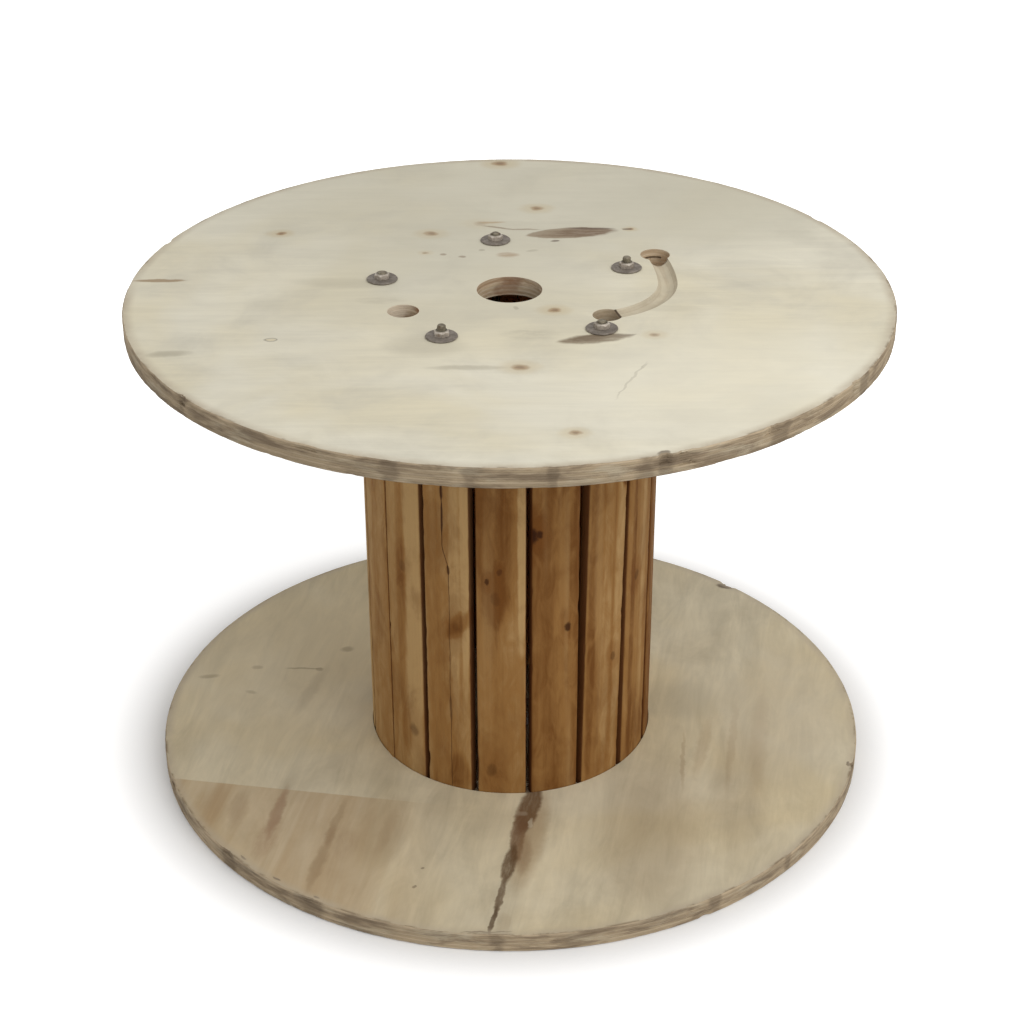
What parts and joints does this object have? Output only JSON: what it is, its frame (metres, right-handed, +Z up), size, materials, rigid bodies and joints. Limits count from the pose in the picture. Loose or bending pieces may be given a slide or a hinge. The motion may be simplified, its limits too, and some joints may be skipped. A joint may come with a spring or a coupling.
{
  "type": "wooden cable drum",
  "caption": "Wooden cable drum standing on one flange: round plywood flanges on a staved barrel, drawn together by tie bolts, with spindle bore, drive hole and a routed cable start.",
  "frame": {"origin": "middle of the lower flange's underside, on the drum's axis", "axes": "+Z up the drum's axis, from the flange it stands on to the flange with the cable start; the pictured side looks along -Y, +X to the right"},
  "size_m": [1.0499, 1.05, 0.747],
  "materials": {
    "plywood": "weathered softwood plywood, raw, dusty, grey-brown dirty edge",
    "stave_wood": "rough brown boards with paler sapwood streaks",
    "washer_steel": "dull grey, slightly weathered steel washer",
    "nut_steel": "zinc-plated steel nut, dulled",
    "bolt_steel": "zinc-plated threaded steel, dulled"
  },
  "bodies": {
    "root": {"flange_bottom": "plywood", "flange_top": "plywood", "nut_1": "nut_steel", "nut_2": "nut_steel", "nut_3": "nut_steel", "nut_4": "nut_steel", "nut_5": "nut_steel", "nut_washer_1": "washer_steel", "nut_washer_2": "washer_steel", "nut_washer_3": "washer_steel", "nut_washer_4": "washer_steel", "nut_washer_5": "washer_steel", "stave_01": "stave_wood", "stave_02": "stave_wood", "stave_03": "stave_wood", "stave_04": "stave_wood", "stave_05": "stave_wood", "stave_06": "stave_wood", "stave_07": "stave_wood", "stave_08": "stave_wood", "stave_09": "stave_wood", "stave_10": "stave_wood", "stave_11": "stave_wood", "stave_12": "stave_wood", "stave_13": "stave_wood", "stave_14": "stave_wood", "stave_15": "stave_wood", "stave_16": "stave_wood", "stave_17": "stave_wood", "tie_bolt_1": "bolt_steel", "tie_bolt_2": "bolt_steel", "tie_bolt_3": "bolt_steel", "tie_bolt_4": "bolt_steel", "tie_bolt_5": "bolt_steel"}
  },
  "joints": []
}
